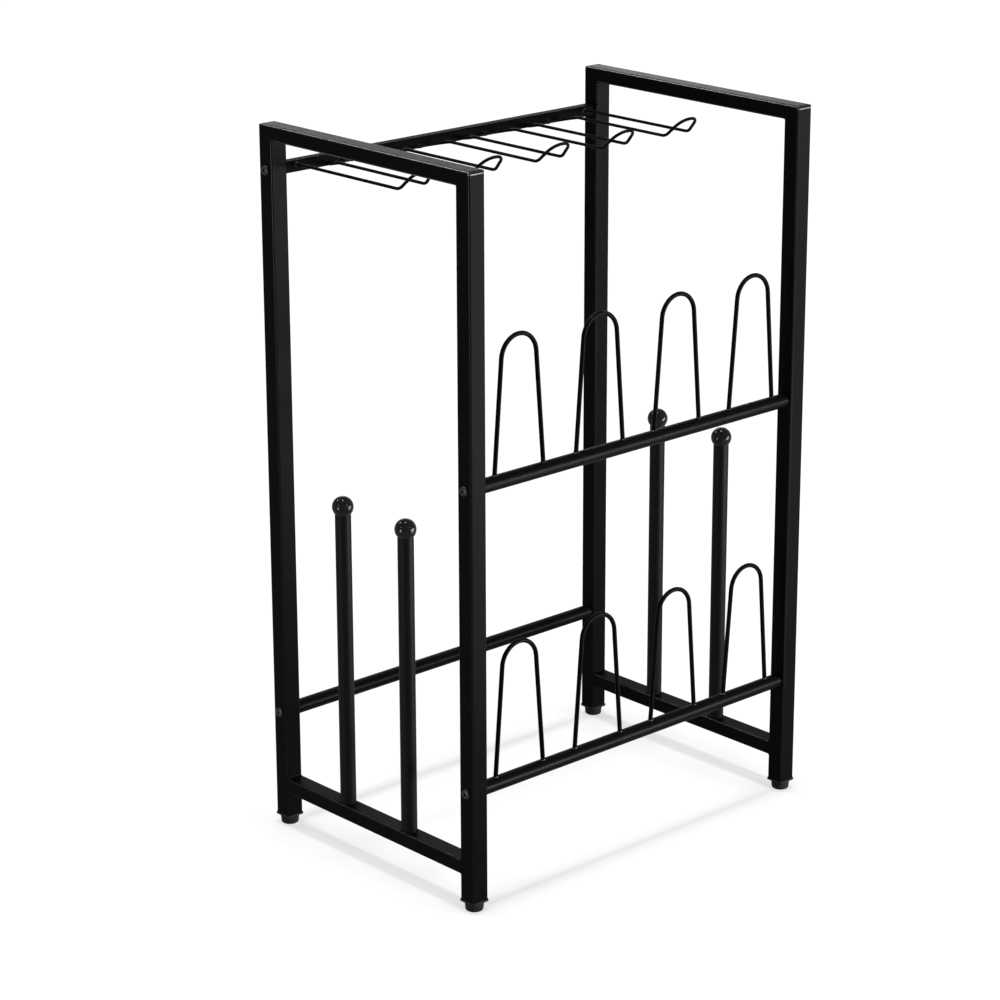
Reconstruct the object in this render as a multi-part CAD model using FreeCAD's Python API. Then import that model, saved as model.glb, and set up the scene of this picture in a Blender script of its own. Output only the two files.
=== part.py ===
import FreeCAD, Part
import math
import os

# Boot rack. Two welded side frames are joined by four bolted cross bars.
# Millimetres. X is the width, Y the depth with the front at -Y, Z is up.
# The origin is on the floor under the middle of the rack.

# ---- overall sizes ----
rack_width = 594.0
rack_depth = 396.0
rack_height = 955.0

# ---- side frame tubes ----
post_size = 25.0
rail_height = 20.0
frame_wall = 1.5
frame_corner_radius = 2.5
frame_top_radius = 4.0
bottom_rail_underside = 48.5

# ---- cross bars ----
bar_diameter = 16.0
bar_wall = 1.2
low_bar_height = 162.0
middle_bar_height = 560.0
hook_bar_drop = 58.5
hook_bar_size = 15.0
hook_bar_corner_radius = 1.5

# ---- shoe loops ----
loops_per_bar = 4
loop_wire_diameter = 5.5
loop_width_at_bar = 83.0
loop_top_radius = 29.0
loop_height = 184.0
loop_edge_gap = 24.0

# ---- boot hook wire ----
prong_count = 5
hook_wire_diameter = 4.0
prong_width = 46.0
prong_edge_gap = 19.5
prong_length = 198.0
hook_wire_rise = 2.5
lip_angle = 45.0
lip_length = 24.5
lip_bend_radius = 4.5
lip_corner_radius = 19.5
rear_dip = 7.0
rear_dip_length = 35.0
rear_dip_radius = 20.0
rear_corner_radius = 20.0

# ---- boot uprights ----
upright_diameter = 21.0
upright_wall = 1.2
upright_pitch = 122.0
upright_height = 400.0
ball_diameter = 28.0
spigot_length = 14.0
spigot_wall = 2.2

# ---- feet ----
foot_pad_height = 12.0
foot_pad_diameter = 25.0
foot_pad_taper = 0.8
foot_pad_edge_radius = 3.0
insert_rim_height = 3.0
insert_rim_overhang = 1.25
insert_rim_edge = 0.7
insert_depth = 18.0
insert_wall = 1.8
insert_boss_radius = 7.0
insert_rib = 1.6
stud_diameter = 8.0
stud_length = 33.0
stud_seat_depth = 8.0
stud_chamfer = 1.0

# ---- fasteners ----
bolt_diameter = 6.0
bolt_length = 38.0
bolt_head_diameter = 13.0
bolt_head_height = 3.2
bolt_head_rim = 0.8
bolt_face_diameter = 6.4
bolt_hex_size = 4.0
bolt_hex_depth = 2.0
bolt_point = 0.8
end_nut_length = 16.0

# ---- clearances ----
bolt_hole_clearance = 0.25
thread_clearance = 0.05
seat_clearance = 0.05
insert_clearance = 0.15
pad_clearance = 0.3

# ---- places worked out from the sizes ----
outer_x = rack_width / 2
outer_y = rack_depth / 2
post_x = outer_x - post_size / 2
post_y = outer_y - post_size / 2
inner_x = outer_x - post_size
inner_y = outer_y - post_size
clear_width = 2 * inner_x
rail_top_z = bottom_rail_underside + rail_height
post_bottom_z = foot_pad_height + insert_rim_height
hook_bar_height = rack_height - hook_bar_drop
hook_face_y = post_y - hook_bar_size / 2
hook_wire_z = hook_bar_height + hook_wire_rise
cut_margin = 5.0

SIDES = (("left", -1), ("right", 1))
ENDS = (("front", -1), ("back", 1))
Vector = FreeCAD.Vector
X_AXIS = Vector(1, 0, 0)
Y_AXIS = Vector(0, 1, 0)
Z_AXIS = Vector(0, 0, 1)
ORIGIN = Vector(0, 0, 0)


def rounded_face(width, height, radius):
    """Rectangle with round corners, centred on the origin in the XY plane."""
    half_w = width / 2
    half_h = height / 2
    edges = []
    for turn, (run, rise) in enumerate(((half_w, half_h), (half_h, half_w)) * 2):
        angle = 90.0 * turn
        start = Vector(run, -rise + radius, 0)
        stop = Vector(run, rise - radius, 0)
        diagonal = radius * math.sqrt(0.5)
        middle = Vector(run - radius + diagonal, rise - radius + diagonal, 0)
        corner = Vector(run - radius, rise, 0)
        side = Part.LineSegment(start, stop).toShape()
        bend = Part.Arc(stop, middle, corner).toShape()
        for edge in (side, bend):
            edge.rotate(ORIGIN, Z_AXIS, angle)
            edges.append(edge)
    return Part.Face(Part.Wire(edges))


def box_tube(width, height, wall, radius, length):
    """Hollow rectangular tube along +Z, with its inner corners concentric."""
    outer = rounded_face(width, height, radius).extrude(Z_AXIS * length)
    inner_radius = max(radius - wall, radius / 4)
    bore = rounded_face(width - 2 * wall, height - 2 * wall, inner_radius)
    return outer.cut(bore.extrude(Z_AXIS * length))


def round_tube(diameter, wall, length):
    """Hollow round tube along +Z."""
    outer = Part.makeCylinder(diameter / 2, length)
    return outer.cut(Part.makeCylinder(diameter / 2 - wall, length))


def along_x(shape):
    """Lay a piece that was made along +Z over to run along +X."""
    turned = shape.copy()
    turned.rotate(ORIGIN, Y_AXIS, 90)
    return turned


def along_y(shape):
    """Lay a piece that was made along +Z over to run along +Y."""
    turned = shape.copy()
    turned.rotate(ORIGIN, X_AXIS, -90)
    return turned


def moved(shape, x, y, z):
    """A copy of the piece, carried to a place."""
    carried = shape.copy()
    carried.translate(Vector(x, y, z))
    return carried


def revolved(points):
    """Solid of revolution about Z from (radius, height) points and arcs.

    An entry of four numbers is an arc: the first two are a point on it and the last two its end.
    """
    edges = []
    last = Vector(points[0][0], 0, points[0][1])
    for entry in list(points[1:]) + [points[0]]:
        stop = Vector(entry[-2], 0, entry[-1])
        if len(entry) == 4:
            edges.append(Part.Arc(last, Vector(entry[0], 0, entry[1]), stop).toShape())
        else:
            edges.append(Part.LineSegment(last, stop).toShape())
        last = stop
    return Part.Face(Part.Wire(edges)).revolve(ORIGIN, Z_AXIS, 360)


def bent_path(corners):
    """Path of straight runs and tangent arcs from (point, bend radius) corners.

    The first and the last point are the path's ends, so their radius is not used.
    """
    edges = []
    last = corners[0][0]
    for index in range(1, len(corners) - 1):
        corner, radius = corners[index]
        run_in = (corner - corners[index - 1][0]).normalize()
        run_out = (corners[index + 1][0] - corner).normalize()
        half_turn = run_in.getAngle(run_out) / 2
        setback = radius * math.tan(half_turn)
        bend_start = corner - run_in * setback
        bend_stop = corner + run_out * setback
        inward = (run_out - run_in).normalize()
        bend_middle = corner + inward * (radius / math.cos(half_turn) - radius)
        edges.append(Part.LineSegment(last, bend_start).toShape())
        edges.append(Part.Arc(bend_start, bend_middle, bend_stop).toShape())
        last = bend_stop
    edges.append(Part.LineSegment(last, corners[-1][0]).toShape())
    return edges


def swept_wire(path_edges, start, direction, diameter):
    """Round wire of one diameter along a path of straight runs and tangent arcs."""
    path = Part.Wire(path_edges)
    ring = Part.Wire(Part.makeCircle(diameter / 2, start, direction))
    return path.makePipeShell([ring], True, True)


# ---- side frames ----

def mitre_block(end, above):
    """Block that reaches up or down from the mitre plane of one top corner.

    The plane runs from the outer top corner to the inner corner under the rail.
    """
    slope = rail_height / post_size
    high_y = outer_y + cut_margin
    low_y = inner_y - cut_margin
    high_z = rack_height + cut_margin * slope
    low_z = rack_height - rail_height - cut_margin * slope
    reach = (1 if above else -1) * 3 * post_size
    corners = [(high_y, high_z), (low_y, low_z), (low_y, low_z + reach), (high_y, high_z + reach)]
    points = [Vector(-post_size, end * y, z) for y, z in corners]
    face = Part.Face(Part.makePolygon(points + [points[0]]))
    return face.extrude(X_AXIS * 2 * post_size)


def side_outline():
    """Prism of a side frame's outline: sharp at the floor, round at the two top corners."""
    arc_y = outer_y - frame_top_radius
    arc_z = rack_height - frame_top_radius
    diagonal = frame_top_radius * math.sqrt(0.5)
    back = Vector(-post_size, outer_y, arc_z)
    back_top = Vector(-post_size, arc_y, rack_height)
    front_top = Vector(-post_size, -arc_y, rack_height)
    front = Vector(-post_size, -outer_y, arc_z)
    back_middle = Vector(-post_size, arc_y + diagonal, arc_z + diagonal)
    front_middle = Vector(-post_size, -arc_y - diagonal, arc_z + diagonal)
    front_floor = Vector(-post_size, -outer_y, 0)
    back_floor = Vector(-post_size, outer_y, 0)
    edges = [
        Part.LineSegment(back_floor, back).toShape(),
        Part.Arc(back, back_middle, back_top).toShape(),
        Part.LineSegment(back_top, front_top).toShape(),
        Part.Arc(front_top, front_middle, front).toShape(),
        Part.LineSegment(front, front_floor).toShape(),
        Part.LineSegment(front_floor, back_floor).toShape(),
    ]
    return Part.Face(Part.Wire(edges)).extrude(X_AXIS * 2 * post_size)


def bar_heights(end):
    """Heights of the two cross bars that are bolted to a front or a back post."""
    if end < 0:
        return (low_bar_height, middle_bar_height)
    return (low_bar_height, hook_bar_height)


def post(side, end):
    """Post with a mitred, rounded top and a hole through both walls for each bar's bolt."""
    tube = box_tube(post_size, post_size, frame_wall, frame_corner_radius, rack_height - post_bottom_z)
    tube = moved(tube, 0, end * post_y, post_bottom_z)
    tube = tube.cut(mitre_block(end, above=True)).common(side_outline())
    hole_radius = bolt_diameter / 2 + bolt_hole_clearance
    for height in bar_heights(end):
        hole = along_x(Part.makeCylinder(hole_radius, 2 * post_size))
        tube = tube.cut(moved(hole, -post_size, end * post_y, height))
    return moved(tube, side * post_x, 0, 0)


def top_rail(side):
    """Rail across the top of a side frame, mitred at both ends."""
    tube = along_y(box_tube(post_size, rail_height, frame_wall, frame_corner_radius, rack_depth))
    tube = moved(tube, 0, -outer_y, rack_height - rail_height / 2)
    for end in (-1, 1):
        tube = tube.cut(mitre_block(end, above=False))
    return moved(tube.common(side_outline()), side * post_x, 0, 0)


def bottom_rail(side):
    """Rail butted between the two posts, a little above the floor."""
    tube = along_y(box_tube(post_size, rail_height, frame_wall, frame_corner_radius, 2 * inner_y))
    return moved(tube, side * post_x, -inner_y, bottom_rail_underside + rail_height / 2)


# ---- boot uprights ----

ball_shoulder_drop = math.sqrt((ball_diameter / 2) ** 2 - (upright_diameter / 2) ** 2)


def upright(side, end):
    """Round tube that stands on the bottom rail and carries a ball cap."""
    tube = round_tube(upright_diameter, upright_wall, upright_height)
    return moved(tube, side * post_x, end * upright_pitch / 2, rail_top_z)


def ball_cap(side, end):
    """Ball with a flat shoulder on the tube's rim and a hollow spigot in its bore."""
    ball_radius = ball_diameter / 2
    seat_radius = upright_diameter / 2
    spigot_radius = seat_radius - upright_wall - seat_clearance
    hollow_radius = spigot_radius - spigot_wall
    profile = [
        (0, ball_shoulder_drop + ball_radius),
        (ball_radius, ball_shoulder_drop, seat_radius, 0),
        (spigot_radius, 0),
        (spigot_radius, -spigot_length),
        (hollow_radius, -spigot_length),
        (hollow_radius, 0),
        (0, 0),
    ]
    cap = revolved(profile)
    return moved(cap, side * post_x, end * upright_pitch / 2, rail_top_z + upright_height)


# ---- feet ----

def foot_insert(side, end):
    """Square plug for the post's open end: rim, ribbed skirt and a boss for the stud."""
    rim_size = post_size + 2 * insert_rim_overhang
    rim = rounded_face(rim_size, rim_size, frame_corner_radius + insert_rim_overhang)
    rim = rim.extrude(Z_AXIS * insert_rim_height)
    rim_edges = [edge for edge in rim.Edges if abs(edge.BoundBox.ZLength) < 0.01]
    rim = rim.makeFillet(insert_rim_edge, rim_edges)
    skirt_size = post_size - 2 * frame_wall - 2 * insert_clearance
    skirt_corner = max(frame_corner_radius - frame_wall, frame_corner_radius / 4)
    skirt = box_tube(skirt_size, skirt_size, insert_wall, skirt_corner, insert_depth)
    boss = Part.makeCylinder(insert_boss_radius, insert_depth)
    rib_length = skirt_size - insert_wall
    ribs = []
    for size_x, size_y in ((rib_length, insert_rib), (insert_rib, rib_length)):
        rib = Part.makeBox(size_x, size_y, insert_depth)
        ribs.append(moved(rib, -size_x / 2, -size_y / 2, 0))
    plug = skirt.multiFuse([boss] + ribs)
    body = rim.fuse(moved(plug, 0, 0, insert_rim_height))
    bore = Part.makeCylinder(stud_diameter / 2 + thread_clearance, insert_rim_height + insert_depth)
    body = body.cut(bore).removeSplitter()
    return moved(body, side * post_x, end * post_y, foot_pad_height)


def foot_pad(side, end):
    """Round levelling pad, slightly tapered, with a blind socket for the stud."""
    top = foot_pad_height - pad_clearance
    top_radius = foot_pad_diameter / 2
    low_radius = top_radius - foot_pad_taper
    socket_radius = stud_diameter / 2 + seat_clearance
    round_in = foot_pad_edge_radius * (1 - math.sqrt(0.5))
    profile = [
        (0, 0),
        (low_radius - foot_pad_edge_radius, 0),
        (low_radius - round_in, round_in, low_radius, foot_pad_edge_radius),
        (top_radius, top),
        (socket_radius, top),
        (socket_radius, top - stud_seat_depth),
        (0, top - stud_seat_depth),
    ]
    return moved(revolved(profile), side * post_x, end * post_y, 0)


def foot_stud(side, end):
    """Levelling screw: it stands in the pad's socket and runs in the insert's boss."""
    radius = stud_diameter / 2
    profile = [
        (0, 0),
        (radius, 0),
        (radius, stud_length - stud_chamfer),
        (radius - stud_chamfer, stud_length),
        (0, stud_length),
    ]
    base_z = foot_pad_height - pad_clearance - stud_seat_depth
    return moved(revolved(profile), side * post_x, end * post_y, base_z)


# ---- cross bars and their fasteners ----

def round_bar(end, height):
    """Round cross bar between the inner faces of two posts."""
    tube = along_x(round_tube(bar_diameter, bar_wall, clear_width))
    return moved(tube, -inner_x, end * post_y, height)


def hook_bar():
    """Square cross bar that carries the boot hooks."""
    tube = along_x(box_tube(hook_bar_size, hook_bar_size, bar_wall, hook_bar_corner_radius, clear_width))
    return moved(tube, -inner_x, post_y, hook_bar_height)


def end_nut_blank(square):
    """Plug that fills the bore at a bar's end, before its hole is made."""
    if square:
        size = hook_bar_size - 2 * bar_wall - 2 * seat_clearance
        corner = max(hook_bar_corner_radius - bar_wall, hook_bar_corner_radius / 4)
        return rounded_face(size, size, corner).extrude(Z_AXIS * end_nut_length)
    return Part.makeCylinder(bar_diameter / 2 - bar_wall - seat_clearance, end_nut_length)


def end_nuts(end, height, square=False):
    """Threaded plugs, one flush in each end of a bar."""
    plug = end_nut_blank(square).cut(Part.makeCylinder(bolt_diameter / 2 + thread_clearance, end_nut_length))
    plug = along_x(plug)
    starts = (-inner_x, inner_x - end_nut_length)
    return Part.makeCompound([moved(plug, x, end * post_y, height) for x in starts])


def button_bolt():
    """Button-head bolt along +Z with its head below z = 0, and a hex socket in it."""
    radius = bolt_diameter / 2
    head_radius = bolt_head_diameter / 2
    face_radius = bolt_face_diameter / 2
    crown = bolt_head_height - bolt_head_rim
    reach = head_radius - face_radius
    dome_radius = (reach ** 2 + crown ** 2) / (2 * crown)
    half_arc = math.asin(reach / dome_radius) / 2
    dome_x = face_radius + dome_radius * math.sin(half_arc)
    dome_z = -bolt_head_height + dome_radius * (1 - math.cos(half_arc))
    profile = [
        (0, -bolt_head_height),
        (face_radius, -bolt_head_height),
        (dome_x, dome_z, head_radius, -bolt_head_rim),
        (head_radius, 0),
        (radius, 0),
        (radius, bolt_length - bolt_point),
        (radius - bolt_point, bolt_length),
        (0, bolt_length),
    ]
    hex_radius = bolt_hex_size / math.sqrt(3)
    corners = []
    for step in range(7):
        turn = math.radians(60 * step)
        corners.append(Vector(hex_radius * math.cos(turn), hex_radius * math.sin(turn), -bolt_head_height))
    socket = Part.Face(Part.makePolygon(corners)).extrude(Z_AXIS * bolt_hex_depth)
    return revolved(profile).cut(socket)


def bar_bolts(end, height):
    """The two bolts of a bar, each put in from the outer face of its post."""
    from_left = along_x(button_bolt())
    from_right = from_left.copy()
    from_right.rotate(ORIGIN, Z_AXIS, 180)
    left_bolt = moved(from_left, -outer_x, end * post_y, height)
    right_bolt = moved(from_right, outer_x, end * post_y, height)
    return Part.makeCompound([left_bolt, right_bolt])


# ---- shoe loops ----

def spread(count, edge_gap, width):
    """X of each of a row of wire shapes that share the width between the posts."""
    first = -inner_x + edge_gap + width / 2
    pitch = -2 * first / (count - 1)
    return [first + pitch * step for step in range(count)]


def shoe_loop(x, bar_height):
    """Wire loop: two legs lean in to a round top, and their ends are coped onto the bar."""
    half = loop_width_at_bar / 2
    top = loop_height - loop_wire_diameter / 2
    centre_z = top - loop_top_radius
    lean = math.acos(loop_top_radius / math.hypot(half, centre_z)) - math.atan2(centre_z, half)
    tangent_x = loop_top_radius * math.cos(lean)
    tangent_z = centre_z + loop_top_radius * math.sin(lean)
    left_foot = Vector(-half, 0, 0)
    right_foot = Vector(half, 0, 0)
    left = Vector(-tangent_x, 0, tangent_z)
    right = Vector(tangent_x, 0, tangent_z)
    path = [
        Part.LineSegment(left_foot, left).toShape(),
        Part.Arc(left, Vector(0, 0, top), right).toShape(),
        Part.LineSegment(right, right_foot).toShape(),
    ]
    wire = swept_wire(path, left_foot, left - left_foot, loop_wire_diameter)
    bar = along_x(Part.makeCylinder(bar_diameter / 2, 2 * loop_width_at_bar))
    coped = wire.cut(moved(bar, -loop_width_at_bar, 0, 0))
    return moved(coped, x, -post_y, bar_height)


# ---- boot hook wire ----

def prong_corners(x):
    """Corners of one prong's wire: out to the front bend, up and round the lip, and back."""
    half = prong_width / 2
    slope = math.radians(lip_angle)
    bend_y = hook_face_y - prong_length
    lip_y = bend_y - lip_length * math.cos(slope)
    lip_z = hook_wire_z + lip_length * math.sin(slope)
    return [
        (Vector(x - half, bend_y, hook_wire_z), lip_bend_radius),
        (Vector(x - half, lip_y, lip_z), lip_corner_radius),
        (Vector(x + half, lip_y, lip_z), lip_corner_radius),
        (Vector(x + half, bend_y, hook_wire_z), lip_bend_radius),
    ]


def rear_corners(left_x, right_x):
    """Corners of the run between two prongs: it dips and lies along the bar's front face."""
    wire_y = hook_face_y - hook_wire_diameter / 2
    dip_y = wire_y - rear_dip_length
    low_z = hook_wire_z - rear_dip
    return [
        (Vector(left_x, dip_y, hook_wire_z), rear_dip_radius),
        (Vector(left_x, wire_y, low_z), rear_corner_radius),
        (Vector(right_x, wire_y, low_z), rear_corner_radius),
        (Vector(right_x, dip_y, hook_wire_z), rear_dip_radius),
    ]


def hook_wire():
    """One wire bent to and fro into the prongs, its two ends butted against the bar."""
    half = prong_width / 2
    centres = spread(prong_count, prong_edge_gap, prong_width)
    start = Vector(centres[0] - half, hook_face_y, hook_wire_z)
    stop = Vector(centres[-1] + half, hook_face_y, hook_wire_z)
    corners = [(start, 0)]
    for index, x in enumerate(centres):
        if index > 0:
            corners += rear_corners(centres[index - 1] + half, x - half)
        corners += prong_corners(x)
    corners.append((stop, 0))
    return swept_wire(bent_path(corners), start, Y_AXIS, hook_wire_diameter)


# ---- all the pieces ----

def pieces():
    """Every piece of the rack by its name."""
    made = {}
    for side_name, side in SIDES:
        made[side_name + "_top_rail"] = top_rail(side)
        made[side_name + "_bottom_rail"] = bottom_rail(side)
        for end_name, end in ENDS:
            corner = side_name + "_" + end_name
            made[corner + "_post"] = post(side, end)
            made[corner + "_upright"] = upright(side, end)
            made[corner + "_ball_cap"] = ball_cap(side, end)
            made[corner + "_foot_insert"] = foot_insert(side, end)
            made[corner + "_foot_pad"] = foot_pad(side, end)
            made[corner + "_foot_stud"] = foot_stud(side, end)
    round_bars = (
        ("bottom_shoe_bar", -1, low_bar_height),
        ("middle_shoe_bar", -1, middle_bar_height),
        ("back_bar", 1, low_bar_height),
    )
    for name, end, height in round_bars:
        made[name] = round_bar(end, height)
        made[name + "_end_nuts"] = end_nuts(end, height)
        made[name + "_bolts"] = bar_bolts(end, height)
    made["hook_bar"] = hook_bar()
    made["hook_bar_end_nuts"] = end_nuts(1, hook_bar_height, square=True)
    made["hook_bar_bolts"] = bar_bolts(1, hook_bar_height)
    made["hook_wire"] = hook_wire()
    for number, x in enumerate(spread(loops_per_bar, loop_edge_gap, loop_width_at_bar), start=1):
        made["bottom_shoe_loop_%d" % number] = shoe_loop(x, low_bar_height)
        made["middle_shoe_loop_%d" % number] = shoe_loop(x, middle_bar_height)
    return made


def main():
    """Write each piece to its own STEP file."""
    os.makedirs("parts", exist_ok=True)
    for name, shape in pieces().items():
        shape.exportStep("parts/" + name + ".step")
        print("%-32s solids %d  volume %9.1f mm3" % (name, len(shape.Solids), shape.Volume))


main()
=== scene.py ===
"""Dresses a packed boot rack: round bars, bent wires and ball caps that take the place of its plain ones, weld beads
at its joints, a finish on every part, and the plain stage it stands on. Lengths are in metres."""

import math
from functools import partial

import bpy
import numpy as np
from bpy.props import FloatProperty, FloatVectorProperty, PointerProperty
from mathutils import Matrix, Vector


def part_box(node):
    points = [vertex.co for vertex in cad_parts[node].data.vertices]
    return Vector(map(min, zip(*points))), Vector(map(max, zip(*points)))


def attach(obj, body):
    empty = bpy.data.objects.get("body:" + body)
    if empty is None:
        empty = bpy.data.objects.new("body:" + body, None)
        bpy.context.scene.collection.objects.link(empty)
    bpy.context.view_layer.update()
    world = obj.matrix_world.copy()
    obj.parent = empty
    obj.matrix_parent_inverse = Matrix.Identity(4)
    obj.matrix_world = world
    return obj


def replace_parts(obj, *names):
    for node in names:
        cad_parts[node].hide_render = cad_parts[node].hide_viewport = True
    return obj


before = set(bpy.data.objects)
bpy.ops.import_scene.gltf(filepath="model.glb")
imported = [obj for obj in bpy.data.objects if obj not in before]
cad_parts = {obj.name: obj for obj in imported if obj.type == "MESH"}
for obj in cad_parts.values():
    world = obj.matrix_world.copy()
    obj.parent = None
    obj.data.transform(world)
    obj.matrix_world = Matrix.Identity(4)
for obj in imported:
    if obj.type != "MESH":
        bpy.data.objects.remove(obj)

bl_info = {
    "name": "Boot rack",
    "version": (1, 0, 0),
    "blender": (4, 5, 0),
    "location": "View3D > Sidebar > Boot rack",
    "description": "Round bars, bent wires, ball caps, weld beads, finishes and stage for a steel boot rack",
    "category": "Object",
}

SIDES = ("left", "right")
ENDS = ("front", "back")
LEVELS = ("bottom", "middle")
LOOPS = range(1, 5)
PRONGS = 5
ROUND_BARS = ("bottom_shoe_bar", "middle_shoe_bar", "back_bar")
BARS = (*ROUND_BARS, "hook_bar")


# ---- sizes and colours ----

class RackSizes(bpy.types.PropertyGroup):
    """Sizes of the pieces that are added to the frame."""

    tube_corner: FloatProperty(
        name="Tube corner", description="Outer corner radius of the square tube", default=0.0025, unit="LENGTH"
    )
    frame_corner: FloatProperty(
        name="Frame corner", description="Radius ground on a side frame's top corners", default=0.004, unit="LENGTH"
    )
    frame_weld: FloatProperty(
        name="Frame weld", description="Leg of the weld beads in the side frames", default=0.0019, unit="LENGTH"
    )
    upright_weld: FloatProperty(
        name="Upright weld", description="Leg of the weld bead round an upright's foot", default=0.0016, unit="LENGTH"
    )
    wire_weld: FloatProperty(
        name="Wire weld", description="Leg of the weld beads on the wires", default=0.0012, unit="LENGTH"
    )
    ripple_pitch: FloatProperty(
        name="Ripple pitch", description="Distance between a bead's ripples", default=0.0013, unit="LENGTH"
    )
    ripple_height: FloatProperty(
        name="Ripple height", description="How far a bead's ripples stand out", default=0.00005, unit="LENGTH"
    )
    round_bar: FloatProperty(
        name="Round bar", description="Diameter of the shoe bars and the back bar", default=0.019, unit="LENGTH"
    )
    bar_bore: FloatProperty(
        name="Bar bore", description="Diameter of the bore that the end nuts sit in", default=0.0136, unit="LENGTH"
    )
    loop_spread: FloatProperty(
        name="Loop spread", description="Width of a shoe loop at the bar's axis", default=0.083, unit="LENGTH"
    )
    loop_lean: FloatProperty(
        name="Loop lean", description="How far a loop's legs lean inwards", default=math.radians(4.66),
        unit="ROTATION",
    )
    loop_wire: FloatProperty(
        name="Loop wire", description="Diameter of a shoe loop's wire", default=0.006, unit="LENGTH"
    )
    loop_bend: FloatProperty(
        name="Loop bend", description="Radius of a shoe loop's round top", default=0.029, unit="LENGTH"
    )
    hook_wire: FloatProperty(
        name="Hook wire", description="Diameter of the boot hooks' wire", default=0.0042, unit="LENGTH"
    )
    prong_width: FloatProperty(
        name="Prong width", description="Distance between a prong's two wires", default=0.043, unit="LENGTH"
    )
    prong_reach: FloatProperty(
        name="Prong reach", description="Distance from the hook bar's front to the lip's bend", default=0.1985,
        unit="LENGTH",
    )
    lip_length: FloatProperty(
        name="Lip length", description="Length of a prong's raised lip", default=0.033, unit="LENGTH"
    )
    lip_rise: FloatProperty(
        name="Lip rise", description="Slope of a prong's lip", default=math.radians(45.0), unit="ROTATION"
    )
    lip_taper: FloatProperty(
        name="Lip taper", description="How far each leg of a lip comes in towards its end", default=0.006,
        unit="LENGTH",
    )
    lip_bend: FloatProperty(
        name="Lip bend", description="Radius of the bend under a lip", default=0.014, unit="LENGTH"
    )
    lip_corner: FloatProperty(
        name="Lip corner", description="Radius of a lip's two corners", default=0.0172, unit="LENGTH"
    )
    rear_dip: FloatProperty(
        name="Rear dip", description="How far the wire drops to its run along the hook bar", default=0.007,
        unit="LENGTH",
    )
    rear_dip_length: FloatProperty(
        name="Rear dip length", description="Length over which the wire drops", default=0.030, unit="LENGTH"
    )
    rear_bend: FloatProperty(
        name="Rear bend", description="Radius of the wire's bends at the hook bar", default=0.017, unit="LENGTH"
    )
    rear_weld: FloatProperty(
        name="Rear weld", description="Length of the weld bead on a rear run", default=0.009, unit="LENGTH"
    )
    rear_weld_spread: FloatProperty(
        name="Rear weld spread", description="Distance between a rear run's two welds", default=0.025, unit="LENGTH"
    )
    cap_diameter: FloatProperty(
        name="Ball diameter", description="Diameter of a ball cap", default=0.028, unit="LENGTH"
    )
    cap_seat: FloatProperty(
        name="Ball seat", description="Diameter of the flat that sits on the upright", default=0.021, unit="LENGTH"
    )
    cap_spigot: FloatProperty(
        name="Spigot", description="Diameter of the spigot inside the upright", default=0.0185, unit="LENGTH"
    )
    cap_line_width: FloatProperty(
        name="Mould line width", description="Width of a ball's mould line", default=0.0005, unit="LENGTH"
    )
    cap_line_height: FloatProperty(
        name="Mould line height", description="How far a ball's mould line stands out", default=0.00008, unit="LENGTH"
    )


class RackFinish(bpy.types.PropertyGroup):
    """Colours and textures of the rack's materials."""

    powder_colour: FloatVectorProperty(
        name="Powder coat", description="Colour of the powder coat", default=(0.0016, 0.0016, 0.00165),
        min=0.0, max=1.0, subtype="COLOR",
    )
    powder_roughness: FloatProperty(
        name="Powder coat roughness", description="How matt the powder coat is", default=0.38,
        min=0.0, max=1.0, subtype="FACTOR",
    )
    powder_gloss: FloatProperty(
        name="Powder coat gloss", description="Strength of the powder coat's reflections", default=0.018,
        min=0.0, max=1.0, subtype="FACTOR",
    )
    edge_gloss: FloatProperty(
        name="Edge gloss", description="Extra gloss where the coat is drawn thin over a tube's corner", default=0.8,
        min=0.0, max=1.0, subtype="FACTOR",
    )
    peel_size: FloatProperty(
        name="Peel size", description="Width of the coat's soft waves", default=0.0022, unit="LENGTH"
    )
    peel_depth: FloatProperty(
        name="Peel depth", description="Depth of the coat's soft waves", default=0.00004, unit="LENGTH"
    )
    grain_size: FloatProperty(
        name="Grain size", description="Width of the coat's fine grain", default=0.0005, unit="LENGTH"
    )
    grain_depth: FloatProperty(
        name="Grain depth", description="Depth of the coat's fine grain", default=0.000011, unit="LENGTH"
    )
    cap_colour: FloatVectorProperty(
        name="Ball cap", description="Colour of the ball caps", default=(0.006, 0.006, 0.0065),
        min=0.0, max=1.0, subtype="COLOR",
    )
    foot_colour: FloatVectorProperty(
        name="Feet", description="Colour of the foot inserts and pads", default=(0.010, 0.010, 0.0102),
        min=0.0, max=1.0, subtype="COLOR",
    )
    bolt_colour: FloatVectorProperty(
        name="Bolts", description="Colour of the blackened bolts", default=(0.034, 0.034, 0.037),
        min=0.0, max=1.0, subtype="COLOR",
    )
    zinc_colour: FloatVectorProperty(
        name="Zinc", description="Colour of the plated nuts and studs", default=(0.55, 0.56, 0.58),
        min=0.0, max=1.0, subtype="COLOR",
    )


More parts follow.
